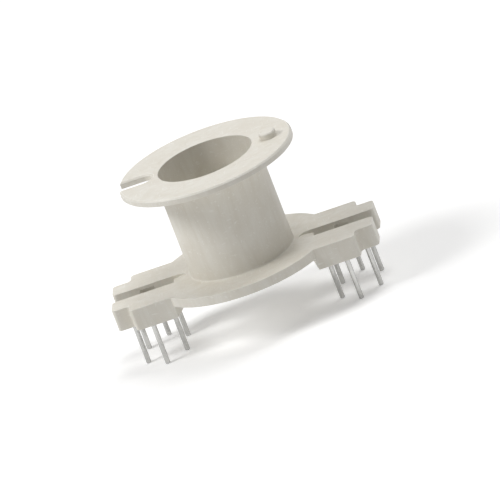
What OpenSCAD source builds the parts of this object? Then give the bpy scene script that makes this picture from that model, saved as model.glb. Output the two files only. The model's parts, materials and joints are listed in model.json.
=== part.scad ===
// Pinned coil former for a transformer with a round centre post.
// One moulding carries the winding tube, the two flanges and two slotted wings.
// Twelve straight pins are pressed into the lands under the wings.
// The origin is on the bore's axis, in the plane of the pin tips. +Z points from the pins to the tube.

/* [Winding tube] */
// Diameter of the bore for the core's centre post
bore_d = 8.7; // [7.5:0.1:9.5]
// Wall of the tube
tube_wall = 0.44; // [0.3:0.02:0.7]
// Clear winding width between the flanges
winding_width = 9; // [5:0.1:15]
// Radius of the fillet at both ends of the tube
tube_fillet = 0.15; // [0.05:0.05:0.3]

/* [Upper flange] */
// Diameter of the upper flange
flange_d = 16; // [15:0.1:19]
// Thickness of the upper flange
flange_t = 0.62; // [0.45:0.01:1.2]
// Chamfer on the upper rim and on the edges of the notch
rim_chamfer = 0.15; // [0.05:0.01:0.25]
// Width of the wire notch
notch_w = 2; // [1.2:0.02:2.8]
// Gap between the tube's outer wall and the notch's round end
notch_gap = 0.08; // [0:0.01:0.3]
// Diameter of the peg
peg_d = 1.54; // [0.8:0.02:2]
// Height of the peg above the flange
peg_h = 0.62; // [0.3:0.01:1.5]
// Chamfer round the top of the peg
peg_chamfer = 0.12; // [0.05:0.01:0.25]
// Radial gap between the tube's outer wall and the peg
peg_gap = 0.37; // [0.2:0.01:1]

/* [Base plate] */
// Diameter of the round part of the base plate
base_d = 16; // [15:0.1:19]
// Thickness of the base plate
base_t = 0.89; // [0.7:0.01:1.5]

/* [Pins] */
// Pitch of the board grid, which is turned 45 degrees to the wings
grid_pitch = 2.54; // [2.4:0.01:2.8]
// Diameter of a pin
pin_d = 0.45; // [0.3:0.01:0.7]
// Length of a pin below the lands
pin_length = 4; // [2:0.1:8]
// Depth of a pin's upset seat in its land
seat_depth = 1.3; // [0.6:0.05:1.4]
// Radial upset of the seat over the pin, which grips the moulding
seat_upset = 0.02; // [0.01:0.005:0.05]
// Chamfer round the tip of a pin
pin_chamfer = 0.08; // [0.02:0.01:0.12]

/* [Wings] */
// Drop of the lands below the base plate
land_drop = 1.08; // [0.8:0.01:2.5]
// From the inner pins to the inner corners of the lands, at the wing's sides
inner_margin = 0.66; // [0.4:0.01:0.8]
// Angle at which the lands' inner faces run in towards the tube, from the sides to the slot
land_slant = 12; // [0:1:20]
// From the outer pins to the end of the wing
end_margin = 1.3; // [1:0.01:3]
// From the outer pins to the side of the narrow end
finger_margin = 1.34; // [0.8:0.01:1.8]
// From the middle pins to the side of the wide part
side_margin = 0.91; // [0.8:0.01:2]
// From the middle pins to the step between the wide part and the narrow end
step_margin = 1.44; // [1:0.01:2.2]
// Radius of the wing's corners and of the fillet in its step
corner_r = 0.35; // [0.1:0.01:0.45]

/* [Wire slots] */
// Width of the slot along the middle of each wing
slot_w = 1.76; // [1.2:0.02:2.4]
// From the tube's outer wall to the inner end of the slot
slot_gap = 0.44; // [0.3:0.01:0.8]
// Length of the sloping floor at the inner end of the slot
ramp_length = 1.27; // [1:0.01:1.6]
// Depth of the sloping floor where it starts, at the inner end
ramp_lip = 0.1; // [0.05:0.01:0.2]
// Depth of the sloping floor at its lower edge
ramp_drop = 0.35; // [0.22:0.01:0.6]
// Width of the wire channel from the slot towards each middle pin
channel_w = 1.36; // [0.8:0.02:1.8]
// Thickness of the roof left over each channel
channel_roof = 0.34; // [0.25:0.01:0.5]
// Wall left between the channel's blind end and the middle pin
channel_wall = 0.38; // [0.2:0.01:0.8]

/* [Hidden] */
$fn = 96;

// Extra length by which a cutter passes through a face
over = 1;

// Radii of the round parts
bore_r = bore_d / 2;
tube_r = bore_r + tube_wall;
flange_r = flange_d / 2;
base_r = base_d / 2;
notch_half = notch_w / 2;
peg_r = peg_d / 2;
peg_x = tube_r + peg_gap + peg_r;
pin_r = pin_d / 2;
seat_r = pin_r + seat_upset;

// Levels, from the pin tips upwards
land_z = pin_length;
seat_top = land_z + seat_depth;
base_z = land_z + land_drop;
base_top = base_z + base_t;
flange_z = base_top + winding_width;
flange_top = flange_z + flange_t;

// Pins of half a wing in steps of half the grid's diagonal: inner, middle and outer
half_diagonal = grid_pitch / sqrt(2);
PIN_CELLS = [[4, 1], [5, 2], [6, 1]];
pins_per_half = len(PIN_CELLS);
pins_per_wing = 2 * pins_per_half;
inner_pin = PIN_CELLS[0] * half_diagonal;
middle_pin = PIN_CELLS[1] * half_diagonal;
outer_pin = PIN_CELLS[2] * half_diagonal;

// Outline of a wing, measured from the pins that it holds
land_x = inner_pin.x - inner_margin;
step_x = middle_pin.x + step_margin;
wing_x = outer_pin.x + end_margin;
wide_y = middle_pin.y + side_margin;
finger_y = outer_pin.y + finger_margin;
slot_half = slot_w / 2;
slant_run = (wide_y - slot_half) * tan(land_slant);

// Slot and channel
slot_x = tube_r + slot_gap;
ramp_x = slot_x + ramp_length;
channel_x = middle_pin.x - channel_w / 2;
channel_y = middle_pin.y - seat_r - channel_wall;
channel_top = base_top - channel_roof;

// Centre of pin number i: 1 to 6 are on the +X wing, 7 to 12 on the -X wing,
// and on each wing the first half lies on the +Y side of the slot
function pin_place(i) =
    let (wing = floor((i - 1) / pins_per_wing),
         in_wing = (i - 1) % pins_per_wing,
         side = in_wing < pins_per_half ? 1 : -1,
         cell = PIN_CELLS[in_wing % pins_per_half])
    [(wing == 0 ? 1 : -1) * cell.x, side * cell.y] * half_diagonal;

// Repeats a +X, +Y shape on both sides of the slot and on both wings
module on_both_wings() {
    for (turn = [0, 1], flip = [0, 1])
        mirror([turn, 0, 0]) mirror([0, flip, 0]) children();
}

// Rectangle from corner a to corner b with round corners at the +X end,
// both of them or only the one at b
module round_ended(a, b, r, both = true) {
    difference() {
        translate(a) square(b - a);
        translate(b - [r, r]) corner_waste(r);
        if (both)
            translate([b.x - r, a.y + r]) mirror([0, 1]) corner_waste(r);
    }
}

// What a rounding of radius r takes off a corner, seen from the rounding's centre
module corner_waste(r) {
    difference() {
        square(r + over);
        circle(r);
    }
}

// Half a wing in plan, on the +Y side of the slot:
// the wide part, the narrow finger and the fillet in the step between them
module half_wing(start_x) {
    round_ended([start_x, slot_half], [step_x, wide_y], corner_r, both = false);
    round_ended([start_x, slot_half], [wing_x, finger_y], corner_r);
    translate([step_x, finger_y]) difference() {
        translate([-corner_r, -corner_r]) square(2 * corner_r);
        translate([corner_r, corner_r]) circle(corner_r);
    }
}

// Half section of the tube with a fillet at the base plate and at the upper flange
module tube_section() {
    translate([bore_r, base_z]) square([tube_wall, flange_top - base_z]);
    translate([tube_r, base_top]) fillet_section(tube_fillet);
    translate([tube_r, flange_z]) mirror([0, 1]) fillet_section(tube_fillet);
}

// Section of an inside fillet, from its corner, with a little body behind both faces
module fillet_section(r) {
    difference() {
        translate([-tube_wall / 2, -flange_t / 2]) square([r + tube_wall / 2, r + flange_t / 2]);
        translate([r, r]) circle(r);
    }
}

// Half section of the upper flange with its chamfered rim
module flange_section() {
    polygon([
        [bore_r, flange_z],
        [flange_r, flange_z],
        [flange_r, flange_top - rim_chamfer],
        [flange_r - rim_chamfer, flange_top],
        [bore_r, flange_top]
    ]);
}

// Notch through the upper flange, open at the -X rim and round next to the tube, with chamfered edges
module notch_cut() {
    reach = flange_r + over;
    end_x = tube_r + notch_gap + notch_half;
    mirror([1, 0, 0]) translate([end_x, 0, 0]) {
        translate([0, -notch_half, flange_z - over]) cube([reach, notch_w, flange_t + 2 * over]);
        translate([0, 0, flange_z - over]) cylinder(h = flange_t + 2 * over, r = notch_half);
        translate([0, 0, flange_top - rim_chamfer]) {
            cylinder(h = 2 * rim_chamfer, r1 = notch_half, r2 = notch_half + 2 * rim_chamfer);
            rotate([90, 0, 90]) linear_extrude(reach) polygon([
                [-notch_half, 0],
                [notch_half, 0],
                [notch_half + 2 * rim_chamfer, 2 * rim_chamfer],
                [-notch_half - 2 * rim_chamfer, 2 * rim_chamfer]
            ]);
        }
    }
}

// Peg on the upper flange with a chamfered top, rooted in the flange
module peg() {
    translate([peg_x, 0, flange_z + flange_t / 2]) rotate_extrude() polygon([
        [0, 0],
        [peg_r, 0],
        [peg_r, flange_t / 2 + peg_h - peg_chamfer],
        [peg_r - peg_chamfer, flange_t / 2 + peg_h],
        [0, flange_t / 2 + peg_h]
    ]);
}

// Round base plate with both wings, before the slots and the bore are cut
module base_plate() {
    translate([0, 0, base_z]) linear_extrude(base_t) {
        circle(base_r);
        on_both_wings() half_wing(0);
    }
}

// Lands under the wings, which hold the pins
module lands() {
    translate([0, 0, land_z]) linear_extrude(land_drop + base_t / 2)
        on_both_wings() half_land();
}

// Half a land in plan: half a wing whose inner end slants in from the side to the slot
module half_land() {
    difference() {
        half_wing(land_x - slant_run);
        translate([land_x, wide_y]) rotate(-land_slant)
            translate([-2 * wide_y, -2 * wide_y]) square([2 * wide_y, 4 * wide_y]);
    }
}

// Wire slot along the +X wing, open at the wing's end and round at its inner end,
// where its floor slopes down from the tube
module slot_cut() {
    difference() {
        translate([0, 0, land_z - over]) linear_extrude(base_top - land_z + 2 * over) {
            translate([slot_x + slot_half, 0]) circle(slot_half);
            translate([slot_x + slot_half, -slot_half]) square([wing_x, slot_w]);
        }
        translate([0, slot_w, 0]) rotate([90, 0, 0]) linear_extrude(2 * slot_w) polygon([
            [slot_x - over, land_z - 2 * over],
            [ramp_x, land_z - 2 * over],
            [ramp_x, base_top - ramp_drop],
            [slot_x, base_top - ramp_lip],
            [slot_x - over, base_top - ramp_lip]
        ]);
    }
}

// Blind wire channel under the wing, from the slot towards the middle pin
module channel_cut() {
    translate([channel_x, 0, land_z - over])
        cube([channel_w, channel_y, channel_top - land_z + over]);
}

module coil_former() {
    color("ivory") difference() {
        union() {
            rotate_extrude() tube_section();
            rotate_extrude() flange_section();
            peg();
            base_plate();
            lands();
        }
        notch_cut();
        slot_cut();
        mirror([1, 0, 0]) slot_cut();
        on_both_wings() channel_cut();
        translate([0, 0, land_z]) cylinder(h = flange_top - land_z + over, r = bore_r);
        for (i = [1 : 2 * pins_per_wing])
            translate(concat(pin_place(i), land_z - over)) cylinder(h = seat_depth + over, r = seat_r);
    }
}

// Straight pin number i, with a chamfered tip on the board side and an upset seat that fills its hole
module pin(i) {
    color("silver") translate(pin_place(i)) rotate_extrude() polygon([
        [0, 0],
        [pin_r - pin_chamfer, 0],
        [pin_r, pin_chamfer],
        [pin_r, land_z],
        [seat_r, land_z],
        [seat_r, seat_top],
        [0, seat_top]
    ]);
}

coil_former();
for (i = [1 : 2 * pins_per_wing])
    pin(i);
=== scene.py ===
# %% [markdown]
# A pinned transformer bobbin
# The part is a small moulded former: a thin tube that the wire is wound on, a round flange above it,
# a base plate with two slotted wings below it, and twelve straight pins under the wings.
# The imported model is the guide: it has every size and place. This lesson models the former and the pins
# again with finer edges, and gives them moulded plastic, drawn and tinned wire, a pale floor and soft light.

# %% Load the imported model
import json
import math

import bmesh
import bpy
from mathutils import Matrix, Quaternion, Vector

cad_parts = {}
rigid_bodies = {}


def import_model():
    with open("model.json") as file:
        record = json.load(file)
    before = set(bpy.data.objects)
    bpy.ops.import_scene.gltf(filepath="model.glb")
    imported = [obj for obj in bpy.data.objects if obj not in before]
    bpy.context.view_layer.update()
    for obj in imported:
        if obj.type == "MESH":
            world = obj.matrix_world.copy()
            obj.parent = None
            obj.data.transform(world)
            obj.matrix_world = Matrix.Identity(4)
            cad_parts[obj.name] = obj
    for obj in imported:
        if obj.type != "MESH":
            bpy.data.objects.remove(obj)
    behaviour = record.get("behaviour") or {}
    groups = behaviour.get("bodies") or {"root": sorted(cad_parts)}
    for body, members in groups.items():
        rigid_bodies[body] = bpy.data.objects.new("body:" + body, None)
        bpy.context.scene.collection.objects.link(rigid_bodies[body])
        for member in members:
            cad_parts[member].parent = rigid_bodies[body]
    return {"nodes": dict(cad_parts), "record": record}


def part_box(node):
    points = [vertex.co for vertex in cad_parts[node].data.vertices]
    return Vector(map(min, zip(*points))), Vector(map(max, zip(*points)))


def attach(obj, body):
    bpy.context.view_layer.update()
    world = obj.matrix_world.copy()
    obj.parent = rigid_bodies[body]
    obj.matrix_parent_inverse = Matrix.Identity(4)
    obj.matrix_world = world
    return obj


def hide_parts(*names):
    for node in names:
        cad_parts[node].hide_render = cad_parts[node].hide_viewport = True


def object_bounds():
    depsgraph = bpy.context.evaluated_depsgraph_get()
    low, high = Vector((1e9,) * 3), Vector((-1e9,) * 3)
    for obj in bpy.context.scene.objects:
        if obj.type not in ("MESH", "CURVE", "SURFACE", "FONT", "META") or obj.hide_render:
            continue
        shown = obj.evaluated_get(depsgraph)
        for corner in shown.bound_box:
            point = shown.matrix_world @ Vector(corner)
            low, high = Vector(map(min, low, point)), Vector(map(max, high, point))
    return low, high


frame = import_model()
cad_box = [list(corner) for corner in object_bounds()]

MM = 0.001
BODY = "root"
FORMER = "coil_former"
PIN_PREFIX = "pin_"
PINS = sorted((name for name in frame["nodes"] if name.startswith(PIN_PREFIX)),
              key=lambda name: int(name.removeprefix(PIN_PREFIX)))
print("packed nodes:", FORMER, "and", len(PINS), "pins; box in mm:",
      [[round(x / MM, 2) for x in corner] for corner in cad_box])

# %% [markdown]
# Levels of the moulding
# The camera and the former need a few heights, such as the top of the base plate.
# They could be typed in, but then they would go wrong as soon as the model changed. The flat faces of the
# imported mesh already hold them, so the areas of the level faces are added up height by height, and the
# height with the most area is taken.

# %% Read the levels from the flat faces
MICRON = 0.001 * MM
NEARLY_LEVEL = 0.999              # the least upright part of a level face's normal
ABOVE_LANDS = 10 * MICRON         # leaves out the level of the lands themselves


def level_areas(node, facing):
    """Area of the level faces of a node that face up (1) or down (-1), by height in micrometres."""
    areas = {}
    for face in frame["nodes"][node].data.polygons:
        if face.normal.z * facing > NEARLY_LEVEL:
            height = round(face.center.z / MICRON)
            areas[height] = areas.get(height, 0) + face.area
    return areas


def widest_level(areas, low, high):
    """The height in metres, between two others, that has the most level area."""
    inside = [height for height in areas if low < height * MICRON < high]
    return max(inside, key=areas.get) * MICRON


up_faces = level_areas(FORMER, 1)
down_faces = level_areas(FORMER, -1)
former_low, former_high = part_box(FORMER)
MIDDLE = (former_low.z + former_high.z) / 2
LAND_UNDER = former_low.z
BASE_UNDER = widest_level(down_faces, LAND_UNDER + ABOVE_LANDS, MIDDLE)
BASE_TOP = widest_level(up_faces, LAND_UNDER, MIDDLE)
FLANGE_UNDER = widest_level(down_faces, MIDDLE, former_high.z)
FLANGE_TOP = widest_level(up_faces, MIDDLE, former_high.z)
levels = (LAND_UNDER, BASE_UNDER, BASE_TOP, FLANGE_UNDER, FLANGE_TOP)
print("levels in mm:", [round(z / MM, 3) for z in levels])

# %% [markdown]
# The camera
# The picture is drawn without perspective and turned in its frame, so that the tube leans to the left.
# An orthographic camera gives the first, and a roll about the line of sight gives the second.
# The middle of the base plate's top is the anchor: it is known in the model and in the picture, so the
# camera is slid sideways and upwards until both fall on the same spot.

# %% Set up the camera
PICTURE_SIDE = 500
PIXELS_PER_MM = 11.472
BASE_CENTRE_PIXEL = (242.3, 255.9)
AZIMUTH = math.radians(8)
ELEVATION = math.radians(18.66)
LEAN = math.radians(21.17)
CAMERA_DISTANCE = 200 * MM
CLIP_START, CLIP_END = 1 * MM, 2000 * MM

towards_camera = Vector((
    math.sin(AZIMUTH) * math.cos(ELEVATION),
    -math.cos(AZIMUTH) * math.cos(ELEVATION),
    math.sin(ELEVATION),
))
camera_turn = (-towards_camera).to_track_quat("-Z", "Y") @ Quaternion((0, 0, 1), -LEAN)
picture_right = camera_turn @ Vector((1, 0, 0))
picture_up = camera_turn @ Vector((0, 1, 0))
slide_right = (PICTURE_SIDE / 2 - BASE_CENTRE_PIXEL[0]) / PIXELS_PER_MM * MM
slide_up = (BASE_CENTRE_PIXEL[1] - PICTURE_SIDE / 2) / PIXELS_PER_MM * MM

bpy.ops.object.select_all(action="DESELECT")
bpy.ops.object.camera_add(
    location=Vector((0, 0, BASE_TOP)) + picture_right * slide_right + picture_up * slide_up
    + towards_camera * CAMERA_DISTANCE,
    rotation=camera_turn.to_euler(),
)
camera = bpy.context.object
camera.name = "picture_camera"
camera.data.type = "ORTHO"
camera.data.ortho_scale = PICTURE_SIDE / PIXELS_PER_MM * MM
camera.data.clip_start = CLIP_START
camera.data.clip_end = CLIP_END
bpy.context.scene.camera = camera
print("camera shows", round(camera.data.ortho_scale / MM, 2), "mm across")

# %% [markdown]
# Node helpers
# Every finish below is a small network of shader nodes. Wiring them by hand takes one line for each
# node and one for each link, so a few short helpers keep the cells readable: one adds a node and sets its
# inputs, one links an output to an input, and one starts a new material.

# %% Helpers for shader nodes
NODE_SPACING = (200, -180)


def add_node(tree, kind, place, settings=None, **inputs):
    """Adds a node at a column and row of the editor, with its settings and unlinked inputs."""
    node = tree.nodes.new(kind)
    node.location = (place[0] * NODE_SPACING[0], place[1] * NODE_SPACING[1])
    for name, value in (settings or {}).items():
        setattr(node, name, value)
    for name, value in inputs.items():
        node.inputs[name.replace("_", " ")].default_value = value
    return node


def join(tree, source, target):
    """Links (node, output) to (node, input)."""
    tree.links.new(source[0].outputs[source[1]], target[0].inputs[target[1]])


def fresh_material(name):
    """A new material with its nodes cleared, its node tree and its output node."""
    material = bpy.data.materials.new(name)
    material.use_nodes = True
    tree = material.node_tree
    tree.nodes.clear()
    return material, tree, add_node(tree, "ShaderNodeOutputMaterial", (6, 0))


# %% [markdown]
# The floor
# The picture has a plain white ground, and the part stands on its pins. A floor of pale card carries the
# shadow of the pins and the wings. A little glow that only the camera and mirror-like surfaces can see
# lifts the card to white, without putting more light on the part. Seen from below the card is clear, so
# that the underside can be looked at.

# %% Lay the floor
WHITE = (1, 1, 1, 1)
FLOOR_COLOUR = (0.9, 0.9, 0.9, 1)
FLOOR_ROUGHNESS = 0.9
FLOOR_GLOW = 0.26
FLOOR_SIDE = 1500 * MM


def seen_directly(tree, place):
    """1 for rays from the camera, from a mirror-like surface or through glass, and 0 for the rest."""
    path = add_node(tree, "ShaderNodeLightPath", place)
    first = add_node(tree, "ShaderNodeMath", (place[0] + 1, place[1]), {"operation": "MAXIMUM"})
    second = add_node(tree, "ShaderNodeMath", (place[0] + 2, place[1]), {"operation": "MAXIMUM"})
    join(tree, (path, "Is Camera Ray"), (first, 0))
    join(tree, (path, "Is Glossy Ray"), (first, 1))
    join(tree, (path, "Is Transmission Ray"), (second, 0))
    join(tree, (first, 0), (second, 1))
    return second, 0


bpy.ops.object.select_all(action="DESELECT")
bpy.ops.mesh.primitive_plane_add(size=FLOOR_SIDE, location=(0, 0, cad_box[0][2]))
floor = bpy.context.object
floor.name = "floor"
card, tree, output = fresh_material("pale_card")
paper = add_node(tree, "ShaderNodeBsdfPrincipled", (3, 0), Base_Color=FLOOR_COLOUR,
                 Roughness=FLOOR_ROUGHNESS, Emission_Color=WHITE)
glow = add_node(tree, "ShaderNodeMath", (2, 1), {"operation": "MULTIPLY"})
glow.inputs[1].default_value = FLOOR_GLOW
join(tree, seen_directly(tree, (-2, 1)), (glow, 0))
join(tree, (glow, 0), (paper, "Emission Strength"))
side = add_node(tree, "ShaderNodeNewGeometry", (3, -2))
clear = add_node(tree, "ShaderNodeBsdfTransparent", (3, 3))
choose = add_node(tree, "ShaderNodeMixShader", (5, 0))
join(tree, (side, "Backfacing"), (choose, 0))
join(tree, (paper, 0), (choose, 1))
join(tree, (clear, 0), (choose, 2))
join(tree, (choose, 0), (output, "Surface"))
floor.data.materials.append(card)
print("floor at", round(cad_box[0][2] / MM, 2), "mm, under the pin tips")

# %% [markdown]
# The room
# A white room could light the part all round, but then every face would be equally bright. So the room is
# white where the camera or a bright pin sees it, and gives the part only a little light.

# %% Paint the room white
SKY_STRENGTH = 0.20
SEEN_STRENGTH = 1.0

bpy.context.scene.view_settings.view_transform = "Standard"
world = bpy.data.worlds.new("white_room")
bpy.context.scene.world = world
world.use_nodes = True
tree = world.node_tree
tree.nodes.clear()
output = add_node(tree, "ShaderNodeOutputWorld", (4, 0))
sky = add_node(tree, "ShaderNodeBackground", (3, 0), Color=WHITE)
strength = add_node(tree, "ShaderNodeMapRange", (2, 0), To_Min=SKY_STRENGTH, To_Max=SEEN_STRENGTH)
join(tree, seen_directly(tree, (-2, 0)), (strength, "Value"))
join(tree, (strength, "Result"), (sky, "Strength"))
join(tree, (sky, 0), (output, "Surface"))
print("room", world.name, "lights at", SKY_STRENGTH)

# %% [markdown]
# The lamps
# Two large soft lamps show which way each face looks: one high on the left, and one almost overhead, which
# lights the tops and leaves the fronts a shade darker. With the room they add up to about 1 on a level
# face, so a colour looks about as it is written.

# %% Hang the two lamps
LAMP_DISTANCE = 700 * MM
LEFT_LAMP = {"direction": (-0.66, -0.20, 0.72), "side": 240 * MM, "level": 0.52}
HIGH_LAMP = {"direction": (0.30, 0.20, 0.93), "side": 360 * MM, "level": 0.44}


def soft_lamp(name, direction, side, level):
    """A square lamp that lights a facing white surface at about this level, where 1 is white."""
    away = Vector(direction).normalized()
    bpy.ops.object.select_all(action="DESELECT")
    bpy.ops.object.light_add(type="AREA", location=Vector((0, 0, BASE_TOP)) + away * LAMP_DISTANCE,
                             rotation=(-away).to_track_quat("-Z", "Y").to_euler())
    lamp = bpy.context.object
    lamp.name = name
    lamp.data.shape = "SQUARE"
    lamp.data.size = side
    lamp.data.energy = level * math.pi ** 2 * LAMP_DISTANCE ** 2
    print(name, "power in watts:", round(lamp.data.energy, 3))


soft_lamp("left_lamp", **LEFT_LAMP)
soft_lamp("high_lamp", **HIGH_LAMP)

# %% [markdown]
# Grain that both finishes share
# Moulded plastic and drawn wire both vary a little over their surface: wide soft clouds, and a fine
# grain. The clouds and the grain are built once, as a node group that takes a position and two scales
# and gives two values. Each material then uses them in its own strength.

# %% Build the cloud and grain group
CLOUD_NOISE = {"Detail": 4.0, "Roughness": 0.55, "Distortion": 0.4}
GRAIN_NOISE = {"Detail": 3.0, "Roughness": 0.6}
NOISE_LOW, NOISE_HIGH = 0.3, 0.7      # most of a noise's values lie between these


def add_socket(group, name, direction, kind="NodeSocketFloat"):
    return group.interface.new_socket(name=name, in_out=direction, socket_type=kind)


cloud_and_grain = bpy.data.node_groups.new("cloud_and_grain", "ShaderNodeTree")
add_socket(cloud_and_grain, "Position", "INPUT", "NodeSocketVector")
add_socket(cloud_and_grain, "Cloud Scale", "INPUT")
add_socket(cloud_and_grain, "Grain Scale", "INPUT")
add_socket(cloud_and_grain, "Cloud", "OUTPUT")
add_socket(cloud_and_grain, "Grain", "OUTPUT")
tree = cloud_and_grain
inside = add_node(tree, "NodeGroupInput", (0, 0))
outside = add_node(tree, "NodeGroupOutput", (3, 0))
for row, (name, noise) in enumerate({"Cloud": CLOUD_NOISE, "Grain": GRAIN_NOISE}.items()):
    texture = add_node(tree, "ShaderNodeTexNoise", (1, 2 * row), **noise)
    spread = add_node(tree, "ShaderNodeMapRange", (2, 2 * row), From_Min=NOISE_LOW, From_Max=NOISE_HIGH)
    join(tree, (inside, "Position"), (texture, "Vector"))
    join(tree, (inside, name + " Scale"), (texture, "Scale"))
    join(tree, (texture, "Fac"), (spread, "Value"))
    join(tree, (spread, "Result"), (outside, name))
print("group", cloud_and_grain.name, "with", len(cloud_and_grain.nodes), "nodes")


def use_group(tree, group, place, **inputs):
    """Places a node group in a material and sets its inputs."""
    node = add_node(tree, "ShaderNodeGroup", place, {"node_tree": group})
    for name, value in inputs.items():
        node.inputs[name.replace("_", " ")].default_value = value
    return node


# %% [markdown]
# Stretching, fitting and mixing
# Both finishes also have marks that run one way: streaks in the plastic, and drawing lines on the wire.
# A Mapping node stretches plain noise into them. Two more helpers fit a value to a new range, and mix two
# colours by it.

# %% Helpers for the two finishes
def stretched_noise(tree, place, stretch, turn=(0, 0, 0), **inputs):
    """Noise in object space, stretched and turned by a Mapping node."""
    position = add_node(tree, "ShaderNodeTexCoord", (place[0] - 1, place[1]))
    placed = add_node(tree, "ShaderNodeMapping", place, Scale=stretch, Rotation=turn)
    noise = add_node(tree, "ShaderNodeTexNoise", (place[0] + 1, place[1]), Scale=1.0, **inputs)
    join(tree, (position, "Object"), (placed, "Vector"))
    join(tree, (placed, "Vector"), (noise, "Vector"))
    return noise, "Fac"


def fitted(tree, place, source, target, span=(0, 1)):
    """A value that runs over the target while the source runs over its span."""
    node = add_node(tree, "ShaderNodeMapRange", place, From_Min=span[0], From_Max=span[1],
                    To_Min=target[0], To_Max=target[1])
    join(tree, source, (node, "Value"))
    return node, "Result"


def mixed(tree, place, share, under, over):
    """The colour under, covered by the colour over as far as the share says."""
    node = add_node(tree, "ShaderNodeMix", place, {"data_type": "RGBA"})
    factor, first, second, result = 0, 6, 7, 2      # the Mix node's sockets for colours, by number
    join(tree, share, (node, factor))
    node.inputs[second].default_value = over
    if isinstance(under[0], float):
        node.inputs[first].default_value = under
    else:
        join(tree, under, (node, first))
    return node, result


# %% [markdown]
# Off-white moulded plastic
# Coil formers are moulded from glass-filled plastic that stands the heat of soldering. Left in its natural
# colour it is a warm off-white, and its tone isn't quite even: there are wide clouds, and streaks where the
# melt ran along the tube. An image could hold them, but noise in object space needs no unwrapping and
# doesn't slide when the part moves. The streaks are noise that is stretched along the bore.

# %% Mix the colour of the plastic
PLASTIC = (0.80, 0.775, 0.705, 1.0)
PLASTIC_DEEP = (0.70, 0.655, 0.565, 1.0)
PLASTIC_IOR = 1.5
CLOUD_SCALE, GRAIN_SCALE = 420.0, 9000.0
CLOUD_SHARE = 0.45
FLOW_SCALE = (900, 900, 170)
STREAK_NOISE = {"Detail": 4.0, "Roughness": 0.6, "Distortion": 1.1}
STREAK_SPAN = (0.40, 0.66)
STREAK_SHARE = 0.5

moulded_plastic, tree, output = fresh_material("moulded_plastic")
shader = add_node(tree, "ShaderNodeBsdfPrincipled", (5, 0), IOR=PLASTIC_IOR)
join(tree, (shader, 0), (output, "Surface"))
position = add_node(tree, "ShaderNodeTexCoord", (-3, 0))
skin = use_group(tree, cloud_and_grain, (-2, 0), Cloud_Scale=CLOUD_SCALE, Grain_Scale=GRAIN_SCALE)
join(tree, (position, "Object"), (skin, "Position"))
cloud_share = fitted(tree, (0, 0), (skin, "Cloud"), (0, CLOUD_SHARE))
colour = mixed(tree, (1, 0), cloud_share, PLASTIC, PLASTIC_DEEP)
streaks = stretched_noise(tree, (-2, 1), FLOW_SCALE, **STREAK_NOISE)
streak_share = fitted(tree, (0, 1), streaks, (0, STREAK_SHARE), STREAK_SPAN)
colour = mixed(tree, (2, 0), streak_share, colour, PLASTIC_DEEP)
print("material", moulded_plastic.name, "has clouds and streaks")

# %% [markdown]
# Fibres under the skin
# The glass shows as short pale flecks that lie just under the skin and point different ways. Modelling them
# would take thousands of hairs. Noise that is stretched one way and kept only where it peaks gives the same
# flecks, and two layers of it, turned differently, cross each other.

# %% Add the fibres
FIBRE = (0.88, 0.865, 0.81, 1.0)
FIBRE_LAYERS = (          # how far each layer's noise is stretched, and how it is turned
    ((900, 6400, 4400), (0.2, 0.3, 0.5)),
    ((5600, 1000, 4600), (0.7, -0.3, 1.5)),
)
FIBRE_DETAIL = 1.0
FIBRE_SPAN = (0.66, 0.76)
FIBRE_SHARE = 0.55

for row, (stretch, turn) in enumerate(FIBRE_LAYERS):
    fibres = stretched_noise(tree, (-2, 2 + row), stretch, turn, Detail=FIBRE_DETAIL)
    fibre_share = fitted(tree, (0, 2 + row), fibres, (0, FIBRE_SHARE), FIBRE_SPAN)
    colour = mixed(tree, (3 + row, 1), fibre_share, colour, FIBRE)
print("layers of fibres:", len(FIBRE_LAYERS))

# %% [markdown]
# Handled edges with a painted highlight, sheen and grain
# Edges that were handled are paler and a little smoother, more in some places than in others; the paler
# tone is partly this wear and partly a painted highlight. The former's mesh marks its rounded edges in an
# attribute, and the clouds break it up. The same clouds vary the satin sheen, and a very fine grain from
# the tool's surface is a bump of a few micrometres.

# %% Finish the plastic
# paler tone of the rounded edges: partly handling wear, partly a painted highlight
RUBBED_AND_HIGHLIGHT = (0.87, 0.855, 0.80, 1.0)
EDGE_WEAR_AND_HIGHLIGHT = (0.25, 0.7)
EDGE_POLISH = -0.08
SATIN = (0.40, 0.54)
GRAIN_BUMP = {"Strength": 0.35, "Distance": 0.004 * MM}

edge = add_node(tree, "ShaderNodeAttribute", (-1, 5), {"attribute_name": "soft_edge"})
edge_wear_and_highlight = add_node(tree, "ShaderNodeMath", (1, 5), {"operation": "MULTIPLY"})
join(tree, (edge, "Fac"), (edge_wear_and_highlight, 0))
join(tree, fitted(tree, (0, 6), (skin, "Cloud"), EDGE_WEAR_AND_HIGHLIGHT), (edge_wear_and_highlight, 1))
# the rounded edges are mixed towards the paler tone: partly wear, partly a painted highlight
colour = mixed(tree, (5, 1), (edge_wear_and_highlight, 0), colour, RUBBED_AND_HIGHLIGHT)
join(tree, colour, (shader, "Base Color"))

smoother = add_node(tree, "ShaderNodeMath", (3, 4), {"operation": "MULTIPLY_ADD"})
smoother.inputs[1].default_value = EDGE_POLISH
join(tree, (edge_wear_and_highlight, 0), (smoother, 0))
join(tree, fitted(tree, (1, 3), (skin, "Cloud"), SATIN), (smoother, 2))
join(tree, (smoother, 0), (shader, "Roughness"))

bump = add_node(tree, "ShaderNodeBump", (4, 3), **GRAIN_BUMP)
join(tree, (skin, "Grain"), (bump, "Height"))
join(tree, (bump, "Normal"), (shader, "Normal"))
print("material", moulded_plastic.name, "with", len(tree.nodes), "nodes")

# %% [markdown]
# Drawn and tinned wire
# The pins are cut from wire that was drawn through a die and then tinned, so they have fine lines along
# their length and a soft bright skin that dulls in patches. Noise that is stretched along Z gives the
# lines, and the clouds decide where they are dull.

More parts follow.
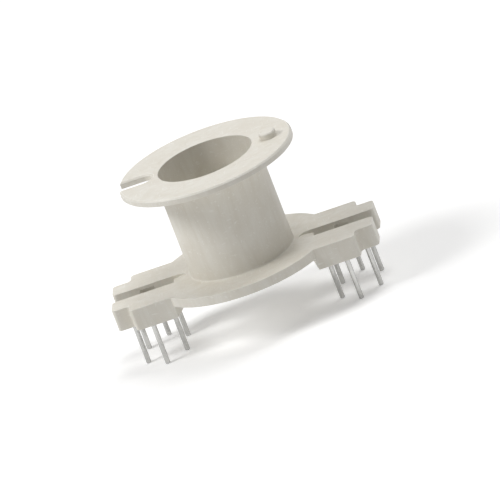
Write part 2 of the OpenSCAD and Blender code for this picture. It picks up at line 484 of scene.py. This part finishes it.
# %% Mix the tinned wire
TIN = (0.60, 0.60, 0.585, 1.0)
TIN_DULL = (0.37, 0.365, 0.35, 1.0)
TIN_ROUGHNESS = (0.22, 0.42)
PATCH_SCALE = 900.0
DRAWN_SCALE = (16000, 16000, 260)
DRAWN_DETAIL = 3.0
DRAWN_BUMP = {"Strength": 0.3, "Distance": 0.003 * MM}

tinned_wire, tree, output = fresh_material("tinned_wire")
shader = add_node(tree, "ShaderNodeBsdfPrincipled", (4, 0), Metallic=1.0)
join(tree, (shader, 0), (output, "Surface"))
position = add_node(tree, "ShaderNodeTexCoord", (-3, 0))
skin = use_group(tree, cloud_and_grain, (-2, 0), Cloud_Scale=PATCH_SCALE)
join(tree, (position, "Object"), (skin, "Position"))
lines = stretched_noise(tree, (-2, 2), DRAWN_SCALE, Detail=DRAWN_DETAIL)
dulling = add_node(tree, "ShaderNodeMath", (0, 1), {"operation": "MULTIPLY"})
join(tree, (skin, "Cloud"), (dulling, 0))
join(tree, lines, (dulling, 1))
join(tree, mixed(tree, (2, 0), (dulling, 0), TIN, TIN_DULL), (shader, "Base Color"))
join(tree, fitted(tree, (2, 2), (dulling, 0), TIN_ROUGHNESS), (shader, "Roughness"))
bump = add_node(tree, "ShaderNodeBump", (3, 3), **DRAWN_BUMP)
join(tree, lines, (bump, "Height"))
join(tree, (bump, "Normal"), (shader, "Normal"))
print("material", tinned_wire.name, "with", len(tree.nodes), "nodes")

# %% [markdown]
# The former's sizes
# The former is one moulding: a thin tube between two round plates, with a slotted wing on each side of the
# lower plate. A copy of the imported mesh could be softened, but its small fillets are only a few flat
# facets, and they would show as creases. So it is modelled here from the same sizes, in the order a tool
# maker would cut it: first what is turned, then the slots, the wings, the holes, the peg and the notch.
# Bevels and Booleans work to small fixed distances that suit pieces of a few units across, so the work is
# done in millimetres, and the finished mesh is scaled to metres.

# %% Read the main sizes in millimetres
def in_mm(metres):
    return round(metres / MM, 4)


def pin_centre(name):
    low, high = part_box(name)
    return (low + high) / 2


mount_sizes = {mount["name"]: mount["dims"] for mount in frame["record"]["mounts"]}
land_z, base_z, base_top = in_mm(LAND_UNDER), in_mm(BASE_UNDER), in_mm(BASE_TOP)
flange_z, flange_top, peg_top = in_mm(FLANGE_UNDER), in_mm(FLANGE_TOP), in_mm(former_high.z)
plate_r, wing_x = in_mm(former_high.y), in_mm(former_high.x)
bore_r = mount_sizes["core_bore"]["r_mm"]
inner_pin, middle_pin, outer_pin = (pin_centre(name) / MM for name in PINS[:3])      # one land's three pins
print("plates", plate_r, "bore", bore_r, "wings", wing_x, "mm from the axis")

# %% [markdown]
# The section of the tube and its plates
# These are the round parts, and in the tool they are turned on a lathe, so one half of their section is
# enough. The tube is thin, to leave room for wire. The corners where it meets the plates are small fillets,
# so that the wire isn't nicked and the tube doesn't crack, and the upper rim is chamfered.

# %% Set out half of the section
TUBE_WALL = 0.44
TUBE_FILLET = 0.15
RIM_CHAMFER = 0.15
FILLET_STEPS = 6


def arc(centre, radius, start, end):
    """Points of an arc in the plane of X and Z, from one angle in degrees to another."""
    turns = [math.radians(start + (end - start) * i / FILLET_STEPS) for i in range(FILLET_STEPS + 1)]
    return [(centre[0] + radius * math.cos(t), centre[1] + radius * math.sin(t)) for t in turns]


tube_r = bore_r + TUBE_WALL
section = [
    (bore_r, base_z),
    (plate_r, base_z),
    (plate_r, base_top),
    *arc((tube_r + TUBE_FILLET, base_top + TUBE_FILLET), TUBE_FILLET, 270, 180),
    *arc((tube_r + TUBE_FILLET, flange_z - TUBE_FILLET), TUBE_FILLET, 180, 90),
    (plate_r, flange_z),
    (plate_r, flange_top - RIM_CHAMFER),
    (plate_r - RIM_CHAMFER, flange_top),
    (bore_r, flange_top),
]
print("the section has", len(section), "corners and a wall of", TUBE_WALL, "mm")

# %% [markdown]
# The turned body
# A cylinder with its ends pushed about could give these shapes, but Spin does what the lathe does: the
# section is drawn as a closed line and swept round the axis. A plane merged to its middle is a single
# point, and each extrusion of that point draws one line. Where the sweep ends it meets its own start, so
# doubles are merged before the normals are set.

# %% Draw the section and spin it
TURN_STEPS = 160
JOIN_DISTANCE = 0.001


def start_editing(piece):
    bpy.ops.object.select_all(action="DESELECT")
    bpy.context.view_layer.objects.active = piece
    piece.select_set(True)
    bpy.ops.object.mode_set(mode="EDIT")
    bpy.ops.mesh.select_all(action="SELECT")


def stop_editing():
    bpy.ops.object.mode_set(mode="OBJECT")


bpy.ops.object.select_all(action="DESELECT")
bpy.ops.mesh.primitive_plane_add(size=1)
former = bpy.context.object
former.name = "former_moulding"
start_editing(former)
bpy.ops.mesh.select_mode(type="VERT")
bpy.ops.mesh.merge(type="CENTER")
bpy.ops.transform.translate(value=(section[0][0], 0, section[0][1]))
for (x, z), (next_x, next_z) in zip(section, section[1:] + section[:1]):
    bpy.ops.mesh.extrude_vertices_move(TRANSFORM_OT_translate={"value": (next_x - x, 0, next_z - z)})
bpy.ops.mesh.select_all(action="SELECT")
bpy.ops.mesh.remove_doubles(threshold=JOIN_DISTANCE)
bpy.ops.mesh.spin(steps=TURN_STEPS, angle=math.tau, center=(0, 0, 0), axis=(0, 0, 1))
bpy.ops.mesh.select_all(action="SELECT")
bpy.ops.mesh.remove_doubles(threshold=JOIN_DISTANCE)
bpy.ops.mesh.normals_make_consistent(inside=False)
stop_editing()
print("turned body:", len(former.data.vertices), "points and", len(former.data.polygons), "faces")

# %% [markdown]
# Blocks, and picking their edges
# The rest is blocks and rods that are joined to the turned body or cut out of it, as with a mill. Each is
# shaped in edit mode first. The helpers below do what a hand does with the mouse: add a block between two
# corners, pick edges or faces by their place, and round the upright edges that were picked.

# %% Helpers for blocks and picking
TINY = 0.0005


def add_block(name, low, high):
    low, high = Vector(low), Vector(high)
    bpy.ops.object.select_all(action="DESELECT")
    bpy.ops.mesh.primitive_cube_add(size=1, location=(low + high) / 2, scale=high - low)
    bpy.ops.object.transform_apply()
    block = bpy.context.object
    block.name = name
    return block


def pick(piece, kind, *tests):
    """In edit mode: selects only the edges or faces whose points all pass one of the tests."""
    bpy.ops.mesh.select_mode(type={"edges": "EDGE", "polygons": "FACE"}[kind])
    bpy.ops.mesh.select_all(action="DESELECT")
    bpy.ops.object.mode_set(mode="OBJECT")
    points = piece.data.vertices
    for part in getattr(piece.data, kind):
        corners = [points[i].co for i in part.vertices]
        part.select = any(all(test(point) for point in corners) for test in tests)
    bpy.ops.object.mode_set(mode="EDIT")


def upright_at(x, y):
    """A test for the points that stand at this place in plan."""
    return lambda point: math.hypot(point.x - x, point.y - y) < TINY


def round_uprights(piece, places, radius, steps):
    """In edit mode: rounds the upright edges that stand at these places in plan."""
    pick(piece, "edges", *(upright_at(*place) for place in places))
    bpy.ops.mesh.bevel(offset=radius, segments=steps, affect="EDGES", clamp_overlap=False)
    bpy.ops.mesh.select_all(action="SELECT")
    bpy.ops.mesh.remove_doubles(threshold=JOIN_DISTANCE)


# %% [markdown]
# Reflecting, joining and cutting
# The part is the same on both sides, so a tool is shaped once and reflected. Then a Boolean joins it to the
# body or cuts it out. The exact solver needs faces that are meant to be level with each other to be so to
# the last digit, and spun or turned points aren't, so all points are first put on a very fine grid. They
# are also listed in order of their place, because the solver hands them back in a different order each time.

# %% Helpers for reflecting and Booleans
OVER = 1.0           # how far a cutter passes through a face
GRID_DIGITS = 4


def apply_step(piece, step):
    bpy.ops.object.select_all(action="DESELECT")
    bpy.context.view_layer.objects.active = piece
    piece.select_set(True)
    bpy.ops.object.modifier_apply(modifier=step.name)


def reflect(piece, axes):
    """Adds the piece's mirror images across the axis, in X, in Y or in both."""
    step = piece.modifiers.new("reflect", "MIRROR")
    step.use_axis = ("X" in axes, "Y" in axes, False)
    step.use_mirror_merge = False
    apply_step(piece, step)


def settle(piece):
    """Puts the points on a grid of 0.1 micrometres, and lists the points and the faces by their place."""
    mesh = piece.data
    places = [tuple(round(x, GRID_DIGITS) for x in point.co) for point in mesh.vertices]
    in_order = sorted(set(places))
    rank = {place: number for number, place in enumerate(in_order)}
    faces = []
    for face in mesh.polygons:
        corners = list(dict.fromkeys(rank[places[i]] for i in face.vertices))
        first = corners.index(min(corners))
        if len(corners) > 2:
            faces.append((corners[first:] + corners[:first], face.material_index))
    faces.sort()
    mesh.clear_geometry()
    mesh.from_pydata(in_order, [], [corners for corners, slot in faces])
    for face, (corners, slot) in zip(mesh.polygons, faces):
        face.material_index = slot


def work(body, tool, operation):
    """Joins a tool to the body (UNION) or cuts it out (DIFFERENCE), and deletes the tool."""
    settle(body)
    settle(tool)
    step = body.modifiers.new(tool.name, "BOOLEAN")
    step.operation = operation
    step.solver = "EXACT"
    step.object = tool
    apply_step(body, step)
    print(operation.lower(), tool.name, "leaves", len(body.data.polygons), "faces")
    bpy.data.objects.remove(tool)


# %% [markdown]
# The slots and their ramps
# Each wing has a slot that leads the wire ends down to the pins. Its inner end is round and shallow: a ramp
# that starts a little below the plate's top and slopes down from the tube, so that the wire bends gently.
# The ramp is a block with two edges rounded until they meet, and its floor is cut at a slope by Bisect. A
# second block then cuts through the whole plate from the ramp's foot outwards.

# %% Cut the slots into the base plate
SLOT_HALF = 0.88
SLOT_GAP = 0.44
RAMP_LENGTH = 1.27
RAMP_LIP = 0.10
RAMP_DROP = 0.35
SLOT_STEPS = 12

slot_x = tube_r + SLOT_GAP
ramp_x = slot_x + RAMP_LENGTH
ramp = add_block("ramp_cutter", (slot_x, -SLOT_HALF, base_z), (ramp_x + OVER, SLOT_HALF, base_top + OVER))
start_editing(ramp)
round_uprights(ramp, [(slot_x, -SLOT_HALF), (slot_x, SLOT_HALF)], SLOT_HALF, SLOT_STEPS)
bpy.ops.mesh.bisect(plane_co=(slot_x, 0, base_top - RAMP_LIP),
                    plane_no=((RAMP_DROP - RAMP_LIP) / RAMP_LENGTH, 0, 1), clear_inner=True, use_fill=True)
stop_editing()
reflect(ramp, "X")
slot = add_block("slot_cutter", (ramp_x, -SLOT_HALF, base_z - OVER),
                 (plate_r + OVER, SLOT_HALF, base_top + OVER))
reflect(slot, "X")
work(former, ramp, "DIFFERENCE")
work(former, slot, "DIFFERENCE")

# %% [markdown]
# The wings
# A wing is two long blocks, one on each side of the slot, that reach a little below the base plate so that
# the plate stays clear of the board. Each is wide at the tube and steps in to a narrow finger, and its inner
# end slants to clear the core. One block is enough: it is extruded to the finger, cut at a slant, rounded at
# its corners and reflected to the other three places.

# %% Shape one half of a wing and join four to the body
INNER_MARGIN = 0.66
STEP_MARGIN = 1.44
SIDE_MARGIN = 0.91
FINGER_MARGIN = 1.34
LAND_SLANT = math.radians(12)
CORNER_R = 0.35
CORNER_STEPS = 6
FLAT_ANGLE = math.radians(0.3)

land_x = inner_pin.x - INNER_MARGIN
step_x = middle_pin.x + STEP_MARGIN
wide_y = middle_pin.y + SIDE_MARGIN
finger_y = outer_pin.y + FINGER_MARGIN
wing = add_block("wing_block", (land_x - OVER, SLOT_HALF, land_z), (step_x, wide_y, base_top))
start_editing(wing)
bpy.ops.mesh.bisect(plane_co=(0, finger_y, 0), plane_no=(0, 1, 0))
pick(wing, "polygons", lambda p: p.x > step_x - TINY and p.y < finger_y + TINY)
bpy.ops.mesh.extrude_region_move(TRANSFORM_OT_translate={"value": (wing_x - step_x, 0, 0)})
bpy.ops.mesh.select_all(action="SELECT")
bpy.ops.mesh.dissolve_limited(angle_limit=FLAT_ANGLE)
bpy.ops.mesh.select_all(action="SELECT")
bpy.ops.mesh.bisect(plane_co=(land_x, wide_y, 0), plane_no=(-math.cos(LAND_SLANT), math.sin(LAND_SLANT), 0),
                    clear_outer=True, use_fill=True)
round_uprights(wing, [(wing_x, SLOT_HALF), (wing_x, finger_y), (step_x, finger_y), (step_x, wide_y)],
               CORNER_R, CORNER_STEPS)
stop_editing()
reflect(wing, "XY")
work(former, wing, "UNION")

# %% [markdown]
# The channels and the pin holes
# Under each wing a blind channel runs from the slot towards the middle pins, and takes the wire to them. The
# pins are pressed into blind holes from below.

# %% Cut the channels and the holes from below
CHANNEL_W = 1.36
CHANNEL_ROOF = 0.34
CHANNEL_WALL = 0.38
PIN_SIDES = 40


def add_rod(name, sides, radius, low, high):
    low, high = Vector(low), Vector(high)
    bpy.ops.object.select_all(action="DESELECT")
    bpy.ops.mesh.primitive_cylinder_add(vertices=sides, radius=radius, depth=(high - low).z,
                                        location=(low + high) / 2)
    bpy.ops.object.transform_apply()
    rod = bpy.context.object
    rod.name = name
    return rod


pin_low, pin_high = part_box(PINS[0])
seat_r, seat_top = in_mm(pin_high.x - pin_low.x) / 2, in_mm(pin_high.z)
channel_y = middle_pin.y - seat_r - CHANNEL_WALL
channel = add_block("channel_cutter", (middle_pin.x - CHANNEL_W / 2, -channel_y, land_z - OVER),
                    (middle_pin.x + CHANNEL_W / 2, channel_y, base_top - CHANNEL_ROOF))
reflect(channel, "X")
work(former, channel, "DIFFERENCE")
for place in (inner_pin, middle_pin, outer_pin):
    hole = add_rod("hole_cutter", PIN_SIDES, seat_r, (place.x, place.y, land_z - OVER),
                   (place.x, place.y, seat_top))
    reflect(hole, "XY")
    work(former, hole, "DIFFERENCE")

# %% [markdown]
# The peg
# A short peg stands on the upper flange and shows which way round the part goes. It is a rod with its upper
# edge chamfered, and it starts inside the flange so that the two join well.

# %% Join the peg
PEG_R = 0.77
PEG_GAP = 0.37
PEG_CHAMFER = 0.12
PEG_SIDES = 72

peg_x = tube_r + PEG_GAP + PEG_R
peg = add_rod("peg", PEG_SIDES, PEG_R, (peg_x, 0, (flange_z + flange_top) / 2), (peg_x, 0, peg_top))
start_editing(peg)
pick(peg, "edges", lambda p: p.z > peg_top - TINY)
bpy.ops.mesh.bevel(offset=PEG_CHAMFER, segments=1, affect="EDGES")
stop_editing()
work(former, peg, "UNION")

# %% [markdown]
# The notch
# Across from the peg the flange has a notch that lets the wire in, round against the tube and chamfered
# along its upper edge. The chamfer needs no second tool: the top of the cutter is extruded, and scaled
# about the middle of its round end.

# %% Cut the notch
NOTCH_HALF = 1.0
NOTCH_GAP = 0.08
NOTCH_STEPS = 14

notch_end = -(tube_r + NOTCH_GAP)
notch_middle = notch_end - NOTCH_HALF
chamfer_z = flange_top - RIM_CHAMFER
flare_rise = 2 * RIM_CHAMFER         # past the flange's top, so that the cut is clean
flare = 1 + flare_rise / NOTCH_HALF
notch = add_block("notch_cutter", (-plate_r - OVER, -NOTCH_HALF, flange_z - OVER),
                  (notch_end, NOTCH_HALF, chamfer_z))
start_editing(notch)
round_uprights(notch, [(notch_end, -NOTCH_HALF), (notch_end, NOTCH_HALF)], NOTCH_HALF, NOTCH_STEPS)
pick(notch, "polygons", lambda p: p.z > chamfer_z - TINY)
bpy.ops.mesh.extrude_region_move(TRANSFORM_OT_translate={"value": (0, 0, flare_rise)})
bpy.ops.transform.resize(value=(flare, flare, 1), center_override=(notch_middle, 0, chamfer_z))
stop_editing()
work(former, notch, "DIFFERENCE")

# %% [markdown]
# Soft edges
# A moulding never has razor-sharp edges: the tool's own edges are a few hundredths of a millimetre round,
# and that thin round edge is what catches the light. Only the outward edges are rounded, because inner
# corners this small stay sharp and a bevel ties itself in knots where the two kinds meet. The bevel marks
# its own faces with a second material slot, so that they can be found again afterwards.

# %% Round the outward edges
EDGE_ROUND = 0.04
EDGE_STEPS = 3
SHARP_ANGLE = math.radians(30)
PLAIN_SLOT, EDGE_SLOT = 0, 1


def in_fillet(point):
    """Whether a point lies in the fillet under the upper flange, which the notch cuts into."""
    reach = tube_r + TUBE_FILLET + TINY
    return point.co.xy.length < reach and flange_z - TUBE_FILLET < point.co.z < flange_z + TINY


def is_outward(edge):
    return edge.calc_face_angle_signed(0) > SHARP_ANGLE and not all(map(in_fillet, edge.verts))


settle(former)
former.data.materials.clear()
for _ in (PLAIN_SLOT, EDGE_SLOT):
    former.data.materials.append(moulded_plastic)
start_editing(former)
bpy.ops.mesh.remove_doubles(threshold=JOIN_DISTANCE)
bpy.ops.mesh.dissolve_limited(angle_limit=FLAT_ANGLE)
bpy.ops.mesh.select_mode(type="EDGE")
bpy.ops.mesh.select_all(action="DESELECT")
open_mesh = bmesh.from_edit_mesh(former.data)
outward_edges = [edge for edge in open_mesh.edges if is_outward(edge)]
for edge in outward_edges:
    edge.select_set(True)
print("outward edges to round:", len(outward_edges), "of", len(open_mesh.edges))
bmesh.update_edit_mesh(former.data)
bpy.ops.mesh.bevel(offset=EDGE_ROUND, segments=EDGE_STEPS, affect="EDGES", clamp_overlap=False,
                   material=EDGE_SLOT)

# %% [markdown]
# Well-shaped triangles
# The flat faces still have many corners, and an exporter would make slivers of them. So they are split here,
# while the mesh is still open, into triangles that are as even as their corners allow. Edges of a few
# micrometres that the Booleans left are collapsed, and what that opens up is split once more.

# %% Split the faces with many corners
MOST_CORNERS = 4
SLIVER = 0.003


def split_many_cornered():
    """In edit mode: splits each face with more than four corners into even triangles."""
    bpy.ops.mesh.select_face_by_sides(number=MOST_CORNERS, type="GREATER", extend=False)
    bpy.ops.mesh.quads_convert_to_tris(ngon_method="BEAUTY")


split_many_cornered()
bpy.ops.mesh.select_all(action="SELECT")
bpy.ops.mesh.dissolve_degenerate(threshold=SLIVER)
split_many_cornered()
stop_editing()
settle(former)
print("rounded edges:", sum(face.material_index for face in former.data.polygons), "small faces")

# %% [markdown]
# Shading the former
# Smooth shading alone would make the large faces look pillowed, because their corners lean towards the thin
# rounds. Weighted normals keep them flat, so that only the rounds are shaded as rounds. The marked faces
# become an attribute that the plastic reads for the handled edges and their painted highlight, and the mesh
# is scaled to metres.

# %% Shade the former and scale it to metres
SMOOTH_ANGLE = math.radians(38)
FACE_WEIGHT = 100

bpy.ops.object.shade_smooth_by_angle(angle=SMOOTH_ANGLE)
flatten = former.modifiers.new("flat_faces", "WEIGHTED_NORMAL")
flatten.weight = FACE_WEIGHT
flatten.keep_sharp = True
apply_step(former, flatten)

soft_edge = former.data.attributes.new("soft_edge", "FLOAT", "FACE")
for face in former.data.polygons:
    soft_edge.data[face.index].value = face.material_index
    face.material_index = PLAIN_SLOT
former.data.materials.pop(index=EDGE_SLOT)
former.data.transform(Matrix.Scale(MM, 4))
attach(former, BODY)
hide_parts(FORMER)
print(former.name, "has", len(former.data.polygons), "faces")

# %% [markdown]
# One pin
# A pin is a piece of round wire, cropped at the board end with its rim broken, and upset a little where it
# grips the moulding. It could be a plain cylinder, but the broken rim and the upset are what make it look
# cut and pressed. So it is modelled from a rod: its top is widened and pulled up into the land, and its
# lower rim is bevelled.

# %% Model one pin
TIP_BREAK = 0.08
TIP_STEPS = 3

pin_r = mount_sizes["outer_pins"]["stud_r_mm"]
tip_z = in_mm(pin_low.z)
one_pin = add_rod("one_pin", PIN_SIDES, pin_r, (0, 0, tip_z), (0, 0, land_z))
start_editing(one_pin)
pick(one_pin, "polygons", lambda p: p.z > land_z - TINY)
bpy.ops.mesh.extrude_region_move(TRANSFORM_OT_translate={"value": (0, 0, 0)})
bpy.ops.transform.resize(value=(seat_r / pin_r, seat_r / pin_r, 1), center_override=(0, 0, land_z))
bpy.ops.mesh.extrude_region_move(TRANSFORM_OT_translate={"value": (0, 0, seat_top - land_z)})
pick(one_pin, "edges", lambda p: p.z < tip_z + TINY)
bpy.ops.mesh.bevel(offset=TIP_BREAK, segments=TIP_STEPS, affect="EDGES")
stop_editing()
bpy.ops.object.shade_smooth_by_angle(angle=SMOOTH_ANGLE)
one_pin.data.materials.append(tinned_wire)
one_pin.data.transform(Matrix.Scale(MM, 4))
print("one pin: radius", pin_r, "seat", seat_r, "mm,", len(one_pin.data.polygons), "faces")

# %% [markdown]
# The twelve pins
# All the pins are cut alike, so each of the twelve places gets a copy of the one pin. A linked copy would
# share its mesh, and every piece needs its own, with its place in the mesh and its object at the origin.

# %% Set the twelve pins
for name in PINS:
    place = pin_centre(name)
    pin = bpy.data.objects.new(name.replace(PIN_PREFIX, "terminal_"), one_pin.data.copy())
    pin.data.transform(Matrix.Translation((place.x, place.y, 0)))
    bpy.context.scene.collection.objects.link(pin)
    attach(pin, BODY)
    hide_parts(name)
bpy.data.objects.remove(one_pin)
print("pins set:", len(PINS))
